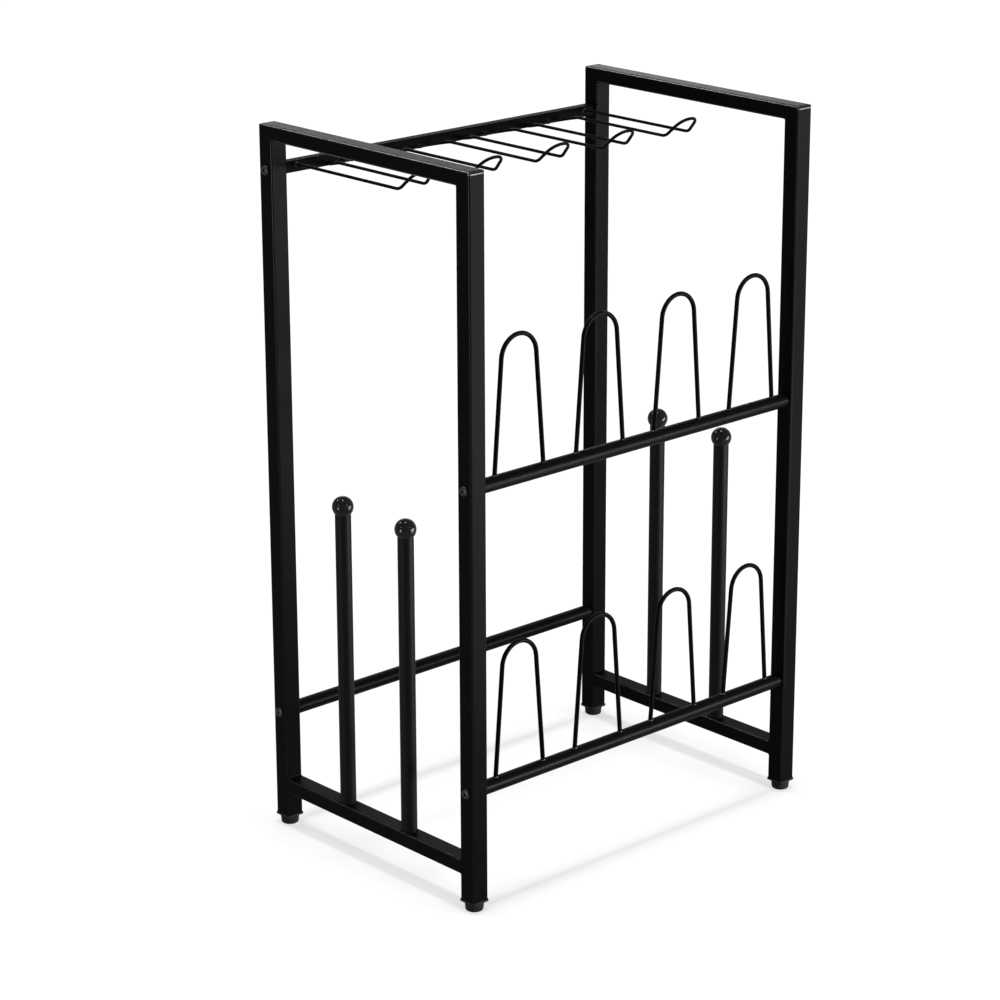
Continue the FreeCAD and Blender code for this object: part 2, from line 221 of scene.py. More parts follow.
class RackStage(bpy.types.PropertyGroup):
    """Floor, lamps and camera."""

    floor_colour: FloatVectorProperty(
        name="Floor", description="Colour of the floor", default=(0.3, 0.3, 0.3), min=0.0, max=1.0, subtype="COLOR"
    )
    floor_glow: FloatProperty(
        name="Floor lift", description="What the floor adds to its own colour towards white", default=0.61, min=0.0
    )
    floor_glow_far: FloatProperty(
        name="Far floor lift", description="The same from four metres out, where the lamps reach less",
        default=0.75, min=0.0,
    )
    sky_light: FloatProperty(
        name="Room light", description="Strength of the light from all round", default=0.14, min=0.0
    )
    room_gloss: FloatProperty(
        name="Room in gloss", description="How bright the floor and the room look in the coats' reflections",
        default=0.35, min=0.0, max=1.0, subtype="FACTOR",
    )
    lens: FloatProperty(name="Lens", description="Focal length in millimetres", default=114.32, unit="CAMERA")
    camera_place: FloatVectorProperty(
        name="Camera", description="Where the camera stands", default=(-2.7291, -2.9085, 1.7565), unit="LENGTH"
    )
    camera_turn: FloatVectorProperty(
        name="Camera turn", description="Tilt, roll and turn of the camera",
        default=(math.radians(90.0 - 18.302), math.radians(-0.187), math.radians(-42.45)), unit="ROTATION",
    )


# ---- meshes ----

SHARP_ANGLE = math.radians(40.0)  # faces that turn by more keep a hard edge between them
BAR_SIDES, WIRE_SIDES, BALL_SIDES = 64, 20, 72


def joined(*parts):
    """Points from their coordinates, or faces from their corners, each a number or an array."""
    return np.stack(np.broadcast_arrays(*parts), -1)


def turns(count):
    """Angles of even steps round a circle."""
    return np.linspace(0.0, 2.0 * np.pi, count, endpoint=False)


def rays(angle):
    """Points (cos a, sin a) on a circle of radius 1."""
    return joined(np.cos(angle), np.sin(angle))


def box_middle(node):
    """Middle of a node's box."""
    low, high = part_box(node)
    return (low + high) / 2


def grid_faces(rows, columns, row_loop):
    """Four-sided faces of a grid whose columns run all the way round, and whose rows do if row_loop is set."""
    row, column = np.meshgrid(np.arange(rows if row_loop else rows - 1), np.arange(columns), indexing="ij")
    next_row, next_column = (row + 1) % rows, (column + 1) % columns
    here, there = row * columns, next_row * columns
    return joined(here + column, here + next_column, there + next_column, there + column).reshape(-1, 4)


def enclosed_volume(points, faces):
    """A sixth of the sum of a . (b x c) over the triangles of a closed mesh: above zero when it faces outwards."""
    a, b, c = (points[faces[:, k]] for k in range(3))
    return float(np.einsum("ij,ij->", a, np.cross(b, c))) / 6.0


def closed_skin(rings, row_loop=False):
    """Points and triangles of a grid of rings, facing outwards. Open ends are closed by a fan to the middle."""
    rows, columns = rings.shape[:2]
    points = rings.reshape(-1, 3)
    quads = grid_faces(rows, columns, row_loop)
    faces = np.concatenate((quads[:, [0, 1, 2]], quads[:, [0, 2, 3]]))
    if not row_loop:
        ring = np.arange(columns)
        following = (ring + 1) % columns
        first, end = len(points), (rows - 1) * columns
        points = np.concatenate((points, rings[0].mean(0)[None], rings[-1].mean(0)[None]))
        fans = joined(first, following, ring), joined(first + 1, end + ring, end + following)
        faces = np.concatenate((faces, *fans))
    if enclosed_volume(points - points.mean(0), faces) < 0:
        faces = faces[:, ::-1]
    return points, faces


def add_object(name, data):
    """A new object, in the scene."""
    made = bpy.data.objects.new(name, data)
    bpy.context.scene.collection.objects.link(made)
    return made


def new_piece(name, skins, material, body="rack"):
    """One object from one or more skins, with its finish, riding on a body of the frame."""
    points, faces, count = [], [], 0
    for skin_points, skin_faces in skins:
        points.append(skin_points)
        faces.append(skin_faces + count)
        count += len(skin_points)
    mesh = bpy.data.meshes.new(name)
    mesh.from_pydata(np.concatenate(points).tolist(), [], np.concatenate(faces).tolist())
    mesh.shade_smooth()
    mesh.set_sharp_from_angle(angle=SHARP_ANGLE)
    mesh.materials.append(material)
    piece = add_object(name, mesh)
    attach(piece, body)
    return piece


def dress(material, *nodes):
    """Gives a material to nodes of the frame."""
    for node in nodes:
        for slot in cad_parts[node].material_slots:
            slot.material = material


# ---- weld beads ----

FACE_POINTS = 7  # across a bead's face
CRESCENT = 1.2  # how far a bead's ripples bow, in pitches
ROOT_DEPTH = 0.0004  # how far a bead goes into the pieces it joins
CLEAR = 0.00003  # how far a bead's edge stays off the face it lies on
UPRIGHT_STEPS, WIRE_STEPS = 96, 48  # round a tube's or a wire's bead


def unit(vectors):
    """Vectors over their own lengths."""
    return vectors / np.linalg.norm(vectors, axis=-1, keepdims=True)


def bead(foot, toe, root, outward, bulge, sizes, row_loop):
    """A weld bead carried along a joint. At each step along it, the face goes from the foot at t = 0 to the toe at
    t = 1 as (1 - t) foot + t toe + 4 t (1 - t) (bulge + ripple) outward, where the ripple is the ripple height times
    cos(2 pi (distance along + a crescent in t) / pitch). The root closes the bead behind."""
    t = np.linspace(0.0, 1.0, FACE_POINTS)[None, :, None]
    middle = (foot + toe) / 2.0
    steps = np.linalg.norm(np.diff(middle, axis=0), axis=1)
    along = np.concatenate(([0.0], np.cumsum(steps)))[:, None, None]
    total = along[-1, 0, 0] + (np.linalg.norm(middle[0] - middle[-1]) if row_loop else 0.0)
    pitch = total / max(1, round(total / sizes.ripple_pitch))
    crescent = pitch * CRESCENT * (t - 0.5) ** 2
    ripple = sizes.ripple_height * np.cos(2.0 * np.pi * (along + crescent) / pitch)
    bulge = np.reshape(bulge, (-1, 1, 1))
    crown = 4.0 * t * (1.0 - t) * (bulge + ripple) * outward[:, None]
    face = (1.0 - t) * foot[:, None] + t * toe[:, None] + crown
    return closed_skin(np.concatenate((face, root[:, None]), axis=1), row_loop)


def ring_bead(place, radius, leg, outward, sizes, hollow, depth=ROOT_DEPTH):
    """Bead round a tube or wire that meets another piece. place(reach, lift) is a ring that far from the tube's axis
    and off the other piece: the foot is a leg out, the toe a leg up, the root inside both, and the face between them
    is hollow by a share of the leg."""
    foot, toe, root = place(radius + leg, 0.0), place(radius, leg), place(radius - depth, -ROOT_DEPTH)
    return bead(foot, toe, root, unit(outward), -hollow * leg, sizes, True)


def corner_drop(offset, flat, radius):
    """How far a rounded tube's face falls away past its flat: radius - sqrt(radius^2 - past^2)."""
    past = np.clip(np.abs(offset) - flat, 0.0, radius)
    return radius - np.sqrt(radius**2 - past**2)


def top_corner_bead(x, end_y, rail_z, half, sizes):
    """Bead across the inner corner of a post and a top rail. It follows both tubes' rounded corners, where its leg
    shrinks as the cosine of the angle round the corner, down to a hair."""
    flat, steps, round_steps = half - sizes.tube_corner, 41, 7
    hair, depth, hollow = 0.0001, 0.0003, 0.22
    turn = np.linspace(-np.pi / 2, 0.0, round_steps)[:-1]
    arc_x, arc_drop = -flat + sizes.tube_corner * np.sin(turn), sizes.tube_corner * (1.0 - np.cos(turn))
    across = np.concatenate((arc_x, np.linspace(-flat, flat, steps), -arc_x[::-1]))
    drop = np.concatenate((arc_drop, np.zeros(steps), arc_drop[::-1]))
    leg = sizes.frame_weld * np.concatenate((np.cos(turn), np.ones(steps), np.cos(turn)[::-1])) + hair
    inward = -math.copysign(1.0, end_y)
    corner = joined(x + across, end_y - inward * drop, rail_z + drop)
    foot = corner + joined(0.0, 0.0, -leg)
    toe = corner + joined(0.0, inward * leg, 0.0)
    root = corner + np.array((0.0, -inward * depth, depth))
    outward = unit(np.array([(0.0, inward, -1.0)]))
    return bead(foot, toe, root, outward, -hollow * leg, sizes, False)


def rounded_section(half_x, half_z, radius, per_side=30, per_corner=8):
    """Points and outward normals round a rectangle with rounded corners: at a corner, its centre + radius
    (cos a, sin a), and between corners even steps."""
    points, normals = [], []
    for quarter, (sx, sz) in enumerate(((1, 1), (-1, 1), (-1, -1), (1, -1))):
        normal = rays(np.pi / 2 * (quarter + np.linspace(0.0, 1.0, per_corner)))
        points.append(np.array((sx * (half_x - radius), sz * (half_z - radius))) + radius * normal)
        normals.append(normal)
    share = np.linspace(0.0, 1.0, per_side + 2)[1:-1, None]
    filled, facing = [], []
    for corner, following, normal in zip(points, (*points[1:], points[0]), normals):
        filled += [corner, corner[-1] + share * (following[0] - corner[-1])]
        facing += [normal, np.broadcast_to(normal[-1], (per_side, 2))]
    return np.concatenate(filled), np.concatenate(facing)


def rail_end_bead(low, high, post_y, sizes):
    """Bead round a bottom rail's end: above and below, a leg each way, and at its sides, which pass the post's
    rounded corners, a flush fill. Each has its share from the normal."""
    half, centre = (high - low) / 2, (high + low) / 2
    tuck, fill, crown, hollow, narrowing = 0.0003, 0.003, 0.00012, 0.2, 0.5
    section, normal = rounded_section(half.x, half.z, sizes.tube_corner)
    inward = -math.copysign(1.0, post_y)
    sideways = np.abs(normal[:, 0])
    leg = sizes.frame_weld
    drop = corner_drop(section[:, 0], half.x - sizes.tube_corner, sizes.tube_corner)

    def place(push, y):
        pushed = section + push[:, None] * normal
        return joined(centre.x + pushed[:, 0], y, centre.z + pushed[:, 1])

    upright_share = 1.0 - sideways
    foot = place(leg * upright_share + CLEAR, post_y - inward * (drop + tuck * sideways))
    toe = place(np.full(len(section), CLEAR), post_y + inward * leg * (1.0 - narrowing * sideways))
    root = place(-fill * sideways - ROOT_DEPTH * upright_share, post_y - inward * ROOT_DEPTH)
    outward = unit(joined(normal[:, 0], inward * upright_share, normal[:, 1]))
    bulge = crown * sideways - hollow * leg * upright_share
    return bead(foot, toe, root, outward, bulge, sizes, True)


def upright_bead(x, y, radius, rail_z, half, sizes):
    """Bead round an upright's foot. Its rings drop with the rail's rounded edges at the upright's two sides."""
    ray = rays(turns(UPRIGHT_STEPS))

    def place(reach, lift):
        spot = reach * ray
        height = rail_z - corner_drop(spot[:, 0], half - sizes.tube_corner, sizes.tube_corner) + lift
        return joined(x + spot[:, 0], y + spot[:, 1], height)

    return ring_bead(place, radius, sizes.upright_weld, joined(*ray.T, 1.0), sizes, hollow=0.2, depth=0.0005)


def saddle_bead(x, lean, bar_y, bar_z, sizes):
    """Bead where a shoe loop's leaning leg stands on its bar: rings round the wire dropped onto the bar's curve, at
    height sqrt(R^2 - across^2) over its axis, and shifted by tan(lean) times that height."""
    ray, bar_radius = rays(turns(WIRE_STEPS)), sizes.round_bar / 2

    def place(reach, lift):
        along, across = reach * ray.T
        height = np.sqrt(bar_radius**2 - across**2) + lift
        return joined(x + along + math.tan(lean) * height, bar_y + across, bar_z + height)

    return ring_bead(place, sizes.loop_wire / 2, sizes.wire_weld, joined(*ray.T, 0.9), sizes, hollow=0.18)


def wire_end_bead(x, face_y, z, sizes):
    """Bead where an end of the hook wire butts against its bar's flat front: flat rings round the wire."""
    ray, leg = rays(turns(WIRE_STEPS)), 1.5 * sizes.wire_weld

    def place(reach, lift):
        return joined(x + reach * ray[:, 0], face_y - lift, z + reach * ray[:, 1])

    outward = joined(ray[:, 0], -1.0, ray[:, 1])
    return ring_bead(place, sizes.hook_wire / 2, leg, outward, sizes, hollow=0.15)


def rear_run_bead(x, face_y, z, side, sizes):
    """Short bead between the hook bar's front and the wire along it: above the wire for side 1, below for side -1.
    At s half lengths from its middle it tapers by sqrt(1 - 0.96 s^2). It grips the wire at an angle from where the
    two touch."""
    steps, fade, grip, spread, depth, inside, crown = 33, 0.96, math.radians(62.0), 0.7, 0.0002, 0.3, 0.0001
    radius, share = sizes.hook_wire / 2, np.linspace(-1.0, 1.0, steps)
    taper = np.sqrt(1.0 - fade * share**2)
    across = x + share * sizes.rear_weld / 2
    rise = radius * (math.sin(grip) + spread * taper)
    foot = joined(across, face_y, z + side * rise)
    toe_y = face_y - radius * (1.0 - math.cos(grip) * taper)
    toe = joined(across, toe_y, z + side * radius * math.sin(grip))
    root = joined(across, face_y + depth, z + side * radius * inside)
    outward = unit(np.array([(0.0, -0.6, side)]))
    return bead(foot, toe, root, outward, crown * taper, sizes, False)


# ---- round bar ----

def round_bar_skin(low, high, sizes):
    """Round tube laid along X on the middle line of a box. Its section goes along the outside at radius R, whose rims
    are broken by an arc of radius e, so that radius = R - e (1 - sin a) at e (1 - cos a) from an end, and back down
    the bore."""
    radius, bore, rim, inside = sizes.round_bar / 2, sizes.bar_bore / 2, 0.0005, 0.001
    arc = np.linspace(0.0, np.pi / 2, 6)
    inset = np.concatenate((rim * (1.0 - np.cos(arc)), [0.0015, 0.02]))  # the last two keep the shading even
    outside = np.concatenate((radius - rim * (1.0 - np.sin(arc)), [radius] * 2))
    x = np.concatenate((low.x + inset, high.x - inset[::-1], [high.x, high.x - inside, low.x + inside, low.x]))
    reach = np.concatenate((outside, outside[::-1], [bore] * 4))
    middle, reach, angle = (low + high) / 2, reach[:, None], turns(BAR_SIDES)
    y, z = middle.y + reach * np.cos(angle), middle.z + reach * np.sin(angle)
    return closed_skin(joined(x[:, None], y, z), True)


# ---- bent wire ----

ARC_POINTS, ARC_DEGREES = 4, 5  # an arc's fewest points, and the degrees of its turn for each one more


def rounded_path(corners):
    """Points along straight runs joined by arcs. At a corner of radius r turned by an angle a, the straight stops
    r tan(a / 2) short, and the arc's middle is r / cos(a / 2) from the corner, between its two straights."""
    points = [corners[0][0]]
    for (before, _), (corner, radius), (after, _) in zip(corners, corners[1:], corners[2:]):
        back, ahead = unit(before - corner), unit(after - corner)
        turn = math.pi - math.acos(back @ ahead)
        middle = corner + unit(back + ahead) * radius / math.cos(turn / 2)
        first, last = (corner + way * radius * math.tan(turn / 2) - middle for way in (back, ahead))
        share = np.linspace(0.0, 1.0, ARC_POINTS + int(math.degrees(turn) / ARC_DEGREES))[:, None]
        points.extend(middle + (np.sin((1.0 - share) * turn) * first + np.sin(share * turn) * last) / math.sin(turn))
    return np.stack((*points, corners[-1][0]))


LOOP_ACROSS, HOOK_ACROSS = (0.0, 1.0, 0.0), (0.0, 0.35, 0.94)  # directions that their wires' paths never take


def wire_skin(path, radius, fixed):
    """Round wire carried along a path: at each point a circle square to the path, turned from one fixed direction."""
    step = unit(np.diff(path, axis=0))
    along = unit(np.concatenate((step[:1], step[:-1] + step[1:], step[-1:])))
    side = unit(np.cross(along, fixed))
    rise = np.cross(side, along)
    angle = turns(WIRE_SIDES)[:, None]
    return closed_skin(path[:, None] + radius * (side[:, None] * np.cos(angle) + rise[:, None] * np.sin(angle)))


def prong_corners(x, face_y, z, sizes):
    """Corners of one prong, each with its radius: out to the lip's bend, up, across the lip's end, and back."""
    bend_y = face_y - sizes.prong_reach
    lip_y = bend_y - sizes.lip_length * math.cos(sizes.lip_rise)
    lip_z = z + sizes.lip_length * math.sin(sizes.lip_rise)
    half = sizes.prong_width / 2
    tip = half - sizes.lip_taper
    return [
        (np.array((x - half, bend_y, z)), sizes.lip_bend), (np.array((x - tip, lip_y, lip_z)), sizes.lip_corner),
        (np.array((x + tip, lip_y, lip_z)), sizes.lip_corner), (np.array((x + half, bend_y, z)), sizes.lip_bend),
    ]


def loop_corners(x, bar_y, bar_z, sizes):
    """A shoe loop's feet, a little inside its bar's wall, and the corner where its legs' lines meet: at slope a from
    upright and half a spread s / 2 from the middle at the bar's axis, they meet s / (2 tan a) above it."""
    into_bar = 0.001
    half, slope, foot = sizes.loop_spread / 2, math.tan(sizes.loop_lean), sizes.round_bar / 2 - into_bar
    out = half - slope * foot
    return [
        (np.array((x - out, bar_y, bar_z + foot)), 0.0),
        (np.array((x, bar_y, bar_z + half / slope)), sizes.loop_bend),
        (np.array((x + out, bar_y, bar_z + foot)), 0.0),
    ]


def rear_corners(left, right, face_y, z, sizes):
    """Corners of the run between two prongs, each with its radius: the wire drops and lies along the bar's front."""
    wire_y, low_z = face_y - sizes.hook_wire / 2, z - sizes.rear_dip
    dip_y = wire_y - sizes.rear_dip_length
    places = (left, dip_y, z), (left, wire_y, low_z), (right, wire_y, low_z), (right, dip_y, z)
    return [(np.array(place), sizes.rear_bend) for place in places]


# ---- moulded ball cap ----

def ball_cap_skin(x, y, seat_z, sizes):
    """Ball on a spigot turned about a vertical axis. The ball's radius is R + h exp(-(height / w)^2), which draws the
    mould line round its middle, and the profile goes on down the flat seat and the spigot inside the upright."""
    radius, seat, spigot = sizes.cap_diameter / 2, sizes.cap_seat / 2, sizes.cap_spigot / 2
    sink = math.sqrt(radius**2 - seat**2)
    length, bevel, pole, steps, near_line, line_steps = 0.014, 0.001, 0.03, 60, 0.12, 25
    polar = np.sort(np.concatenate((
        np.linspace(pole, math.pi - math.asin(seat / radius), steps),
        math.pi / 2 + np.linspace(-near_line, near_line, line_steps),
    )))
    height = radius * np.cos(polar)
    reach = radius + sizes.cap_line_height * np.exp(-((height / sizes.cap_line_width) ** 2))
    profile_r = np.concatenate((reach * np.sin(polar), [seat, spigot, spigot, spigot - bevel]))[:, None]
    profile_z = np.concatenate((sink + reach * np.cos(polar), [0.0, 0.0, bevel - length, -length]))[:, None]
    angle = turns(BALL_SIDES)
    return closed_skin(joined(x + profile_r * np.cos(angle), y + profile_r * np.sin(angle), seat_z + profile_z))


# ---- shader maths ----

def acting(operation, swapped=False):
    """A method that adds a Math node on a field and another value, which comes first where they are swapped."""
    def act(self, other):
        first, second = (other, self) if swapped else (self, other)
        return self.math(operation, first, second)

    return act


class Field:
    """A socket that Python's + - * / act on, each adding its Math node."""

    __add__, __radd__ = acting("ADD"), acting("ADD", True)
    __sub__, __rsub__ = acting("SUBTRACT"), acting("SUBTRACT", True)
    __mul__, __rmul__ = acting("MULTIPLY"), acting("MULTIPLY", True)
    __truediv__, __rtruediv__ = acting("DIVIDE"), acting("DIVIDE", True)
    least, most = acting("MINIMUM"), acting("MAXIMUM")

    def __init__(self, shader, socket):
        self.shader, self.socket = shader, socket

    def math(self, operation, first, second, clamp=False):
        """A Math node on two numbers or fields."""
        return self.shader.node("ShaderNodeMath", {0: first, 1: second}, {"operation": operation, "use_clamp": clamp})

    def size(self):
        """The value without its sign."""
        return self.math("ABSOLUTE", self, 0.0)

    def clamped(self):
        """The value kept between 0 and 1."""
        return self.math("ADD", self, 0.0, True)


class Shader:
    """The node tree of a material or of the world, emptied and built up again."""

    def __init__(self, owner):
        owner.use_nodes = True
        self.owner, self.tree = owner, owner.node_tree
        self.tree.nodes.clear()

    def node(self, kind, sockets=None, settings=None, out=0):
        """Adds a node, with the values or links of its sockets and its own settings. Gives its output as a Field."""
        made = self.tree.nodes.new(kind)
        for key, value in (settings or {}).items():
            setattr(made, key, value)
        for key, value in (sockets or {}).items():
            if isinstance(value, Field):
                self.tree.links.new(value.socket, made.inputs[key])
            else:
                made.inputs[key].default_value = value
        return Field(self, made.outputs[out]) if made.outputs else None

    def noise(self, size, detail, roughness, stretch=(1.0, 1.0, 1.0)):
        """Soft noise whose waves are about `size` wide, longer along an axis where stretch is below one."""
        place = self.node("ShaderNodeTexCoord", out="Object")
        place = self.node("ShaderNodeVectorMath", {0: place, 1: stretch}, {"operation": "MULTIPLY"})
        sockets = {"Vector": place, "Scale": 1.0 / size, "Detail": detail, "Roughness": roughness}
        return self.node("ShaderNodeTexNoise", sockets)

    def blend(self, share, first, second):
        """A colour from first to second by share."""
        return self.node("ShaderNodeMix", {"Factor": share, 6: first, 7: second}, {"data_type": "RGBA"}, out=2)

    def shades(self, share, colour, dark, light):
        """A colour that goes by share from `dark` times to `light` times the one given."""
        return self.blend(share, rgba(colour, dark), rgba(colour, light))

    def bump(self, height, depth=1.0):
        """Normals from a height, which is in metres where depth is left at 1."""
        return self.node("ShaderNodeBump", {"Height": height, "Distance": depth})

    def surface(self, **sockets):
        """The Principled shader, with underscores in its sockets' names standing for spaces. Gives the material."""
        made = self.node("ShaderNodeBsdfPrincipled", {k.replace("_", " "): v for k, v in sockets.items()})
        self.node("ShaderNodeOutputMaterial", {"Surface": made})
        return self.owner


def rgba(colour, scale=1.0):
    """A colour times a scale, with its alpha."""
    return (colour[0] * scale, colour[1] * scale, colour[2] * scale, 1.0)


def powder_coat(name, finish, peel=1.0, rougher=0.0, edge=None, gloss=1.0):
    """Satin black powder coat: soft peel, fine grain, slow changes of tone and gloss, and glossier tube corners. It
    may have its peel's width scaled, its roughness added to, its gloss scaled and an edge mask. The noises average a
    half, and what they add to the roughness there is taken off again."""
    shader = Shader(bpy.data.materials.new(name))
    wave_matt, cloud_matt = 0.06, 0.08
    matt = finish.powder_roughness + rougher - (wave_matt + cloud_matt) / 2
    waves = shader.noise(finish.peel_size * peel, 2.0, 0.45)
    grain = shader.noise(finish.grain_size, 2.0, 0.6)
    cloud = shader.noise(0.045, 3.0, 0.55)
    height = waves * finish.peel_depth + grain * finish.grain_depth
    tone = (cloud * 0.7 + grain * 0.3).clamped()
    return shader.surface(
        Base_Color=shader.shades(tone, finish.powder_colour, 0.65, 1.35),
        Roughness=(waves * wave_matt + cloud * cloud_matt + matt).clamped(),
        Specular_IOR_Level=finish.powder_gloss * gloss,
        Coat_Weight=edge(shader) * finish.edge_gloss if edge else 0.0,
        Coat_Roughness=0.25,
        Normal=shader.bump(height),
    )


def tube_edge(node, axes, shine=1.0):
    """A mask of a square tube's rounded corners, for the node and its mirror image: each coordinate's distance from
    the tube's middle, the smaller of the two, past the flat and over most of the corner's radius, times the tube's
    share of the gloss. The side frame's top corners are added in full."""
    low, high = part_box(node)
    post_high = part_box("left_back_post")[1]
    corner_share, top_share = 0.6, 0.4

    def mask(shader):
        sizes = bpy.context.scene.boot_rack_sizes
        place = shader.node("ShaderNodeTexCoord", out="Object")
        along = [shader.node("ShaderNodeSeparateXYZ", {0: place}, out=axis).size() for axis in range(3)]
        past = []
        for axis in axes:
            near, far = sorted((abs(low[axis]), abs(high[axis])))
            past.append((along[axis] - (near + far) / 2).size() - ((far - near) / 2 - sizes.tube_corner))
        edge = past[0].least(past[1]) / (corner_share * sizes.tube_corner)
        top = (along[1] - (post_high.y - sizes.frame_corner)).least(along[2] - (post_high.z - sizes.frame_corner))
        return (edge.clamped() * shine).most(top / (top_share * sizes.frame_corner)).clamped()

    return mask


def gloss_plastic(name, finish):
    """Polished moulded plastic with faint flow marks and hairline scuffs."""
    shader = Shader(bpy.data.materials.new(name))
    flow = shader.noise(0.011, 2.0, 0.5, (1.0, 1.0, 0.35))
    scuff = shader.noise(0.0007, 3.0, 0.6, (1.0, 1.0, 0.12))
    return shader.surface(
        Base_Color=shader.shades(flow, finish.cap_colour, 0.85, 1.15),
        Roughness=(flow * 0.04 + scuff * 0.04 + 0.09).clamped(),
        Specular_IOR_Level=0.12,
        Normal=shader.bump(flow * 0.00002 + scuff * 0.000002),
    )


def matte_plastic(name, finish):
    """Moulded plastic with an even spark-eroded grain."""
    shader = Shader(bpy.data.materials.new(name))
    grain = shader.noise(0.0004, 2.0, 0.7)
    flow = shader.noise(0.009, 2.0, 0.5)
    return shader.surface(
        Base_Color=shader.shades(flow, finish.foot_colour, 0.8, 1.25),
        Roughness=(grain * 0.12 + flow * 0.08 + 0.45).clamped(),
        Specular_IOR_Level=0.06,
        Normal=shader.bump(grain, 0.000012),
    )


def black_oxide(name, finish):
    """Blackened steel: an oily dark metal with turning marks too fine to see one by one."""
    shader = Shader(bpy.data.materials.new(name))
    mottle = shader.noise(0.0016, 3.0, 0.6)
    marks = shader.noise(0.00025, 1.0, 0.5, (0.15, 1.0, 1.0))
    return shader.surface(
        Base_Color=shader.shades(mottle, finish.bolt_colour, 0.7, 1.4),
        Metallic=1.0,
        Roughness=(mottle * 0.12 + marks * 0.06 + 0.30).clamped(),
        Normal=shader.bump(marks * 0.000004 + mottle * 0.000006),
    )


def zinc_plate(name, finish):
    """Bright zinc plate with faint spangle."""
    shader = Shader(bpy.data.materials.new(name))
    spangle = shader.noise(0.0022, 2.0, 0.4)
    marks = shader.noise(0.0003, 2.0, 0.6, (1.0, 1.0, 0.2))
    return shader.surface(
        Base_Color=shader.shades(spangle, finish.zinc_colour, 0.75, 1.15),
        Metallic=1.0,
        Roughness=(spangle * 0.10 + marks * 0.10 + 0.25).clamped(),
        Normal=shader.bump(marks, 0.000004),
    )


MAKERS = {
    "frame_powder_coat": powder_coat,
    "post_powder_coat": partial(powder_coat, edge=tube_edge("left_front_post", (0, 1), 0.2)),
    "top_rail_powder_coat": partial(powder_coat, edge=tube_edge("left_top_rail", (0, 2))),
    "bottom_rail_powder_coat": partial(powder_coat, edge=tube_edge("left_bottom_rail", (0, 2), 0.3)),
    "upright_powder_coat": partial(powder_coat, rougher=0.08, gloss=4.0),
    "bar_powder_coat": partial(powder_coat, gloss=1.5),
    "hook_bar_powder_coat": partial(powder_coat, rougher=0.12, gloss=0.4),
    "wire_powder_coat": partial(powder_coat, peel=0.8, rougher=-0.04),
    "weld_powder_coat": partial(powder_coat, peel=0.6, rougher=-0.1, edge=lambda shader: 0.7),
    "ball_cap_gloss": gloss_plastic,
    "foot_plastic_grain": matte_plastic,
    "bolt_black_oxide": black_oxide,
    "zinc_plated_steel": zinc_plate,
}


def finish_named(name):
    """The material of that name, made on first use."""
    if name not in bpy.data.materials:
        MAKERS[name](name, bpy.context.scene.boot_rack_finish)
    return bpy.data.materials[name]


# ---- operators ----

class BOOTRACK_OT_side_frames(bpy.types.Operator):
    """Powder coat on the posts and rails, and the weld beads that join them"""

    bl_idname = "boot_rack.side_frames"
    bl_label = "Side frames"

    def execute(self, context):
        sizes = context.scene.boot_rack_sizes
        coat = finish_named("frame_powder_coat")
        for side in SIDES:
            dress(finish_named("post_powder_coat"), *(f"{side}_{end}_post" for end in ENDS))
            for rail in ("top_rail", "bottom_rail"):
                dress(finish_named(f"{rail}_powder_coat"), f"{side}_{rail}")
            rail_low, rail_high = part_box(f"{side}_bottom_rail")
            top_low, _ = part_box(f"{side}_top_rail")
            centre_x, half = (rail_low.x + rail_high.x) / 2, (rail_high.x - rail_low.x) / 2
            beads = []
            for post_y in (rail_low.y, rail_high.y):
                beads.append(rail_end_bead(rail_low, rail_high, post_y, sizes))
                beads.append(top_corner_bead(centre_x, post_y, top_low.z, half, sizes))
            new_piece(f"{side}_frame_welds", beads, coat)
        return {"FINISHED"}


class BOOTRACK_OT_uprights(bpy.types.Operator):
    """Powder coat on the boot uprights, and the weld beads round their feet"""

    bl_idname = "boot_rack.uprights"
    bl_label = "Boot uprights"

    def execute(self, context):
        sizes = context.scene.boot_rack_sizes
        coat = finish_named("frame_powder_coat")
        for side in SIDES:
            rail_low, rail_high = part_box(f"{side}_bottom_rail")
            beads = []
            for end in ENDS:
                node = f"{side}_{end}_upright"
                dress(finish_named("upright_powder_coat"), node)
                low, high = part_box(node)
                centre = box_middle(node)
                beads.append(upright_bead(
                    centre.x, centre.y, (high.x - low.x) / 2, rail_high.z, (rail_high.x - rail_low.x) / 2, sizes
                ))
            new_piece(f"{side}_upright_welds", beads, coat)
        return {"FINISHED"}


class BOOTRACK_OT_ball_caps(bpy.types.Operator):
    """Moulded ball caps on the uprights, each with its mould line"""

    bl_idname = "boot_rack.ball_caps"
    bl_label = "Ball caps"

    def execute(self, context):
        sizes = context.scene.boot_rack_sizes
        for side in SIDES:
            for end in ENDS:
                upright = f"{side}_{end}_upright"
                centre, top = box_middle(upright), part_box(upright)[1].z
                skin = ball_cap_skin(centre.x, centre.y, top, sizes)
                piece = new_piece(f"{side}_{end}_ball", [skin], finish_named("ball_cap_gloss"))
                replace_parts(piece, f"{side}_{end}_ball_cap")
        return {"FINISHED"}


class BOOTRACK_OT_cross_bars(bpy.types.Operator):
    """Round tubes for the shoe bars and the back bar, and powder coat on the hook bar"""

    bl_idname = "boot_rack.cross_bars"
    bl_label = "Cross bars"

    def execute(self, context):
        sizes = context.scene.boot_rack_sizes
        for bar in ROUND_BARS:
            skin = round_bar_skin(*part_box(bar), sizes)
            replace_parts(new_piece(f"{bar}_tube", [skin], finish_named("bar_powder_coat")), bar)
        dress(finish_named("hook_bar_powder_coat"), "hook_bar")
        return {"FINISHED"}


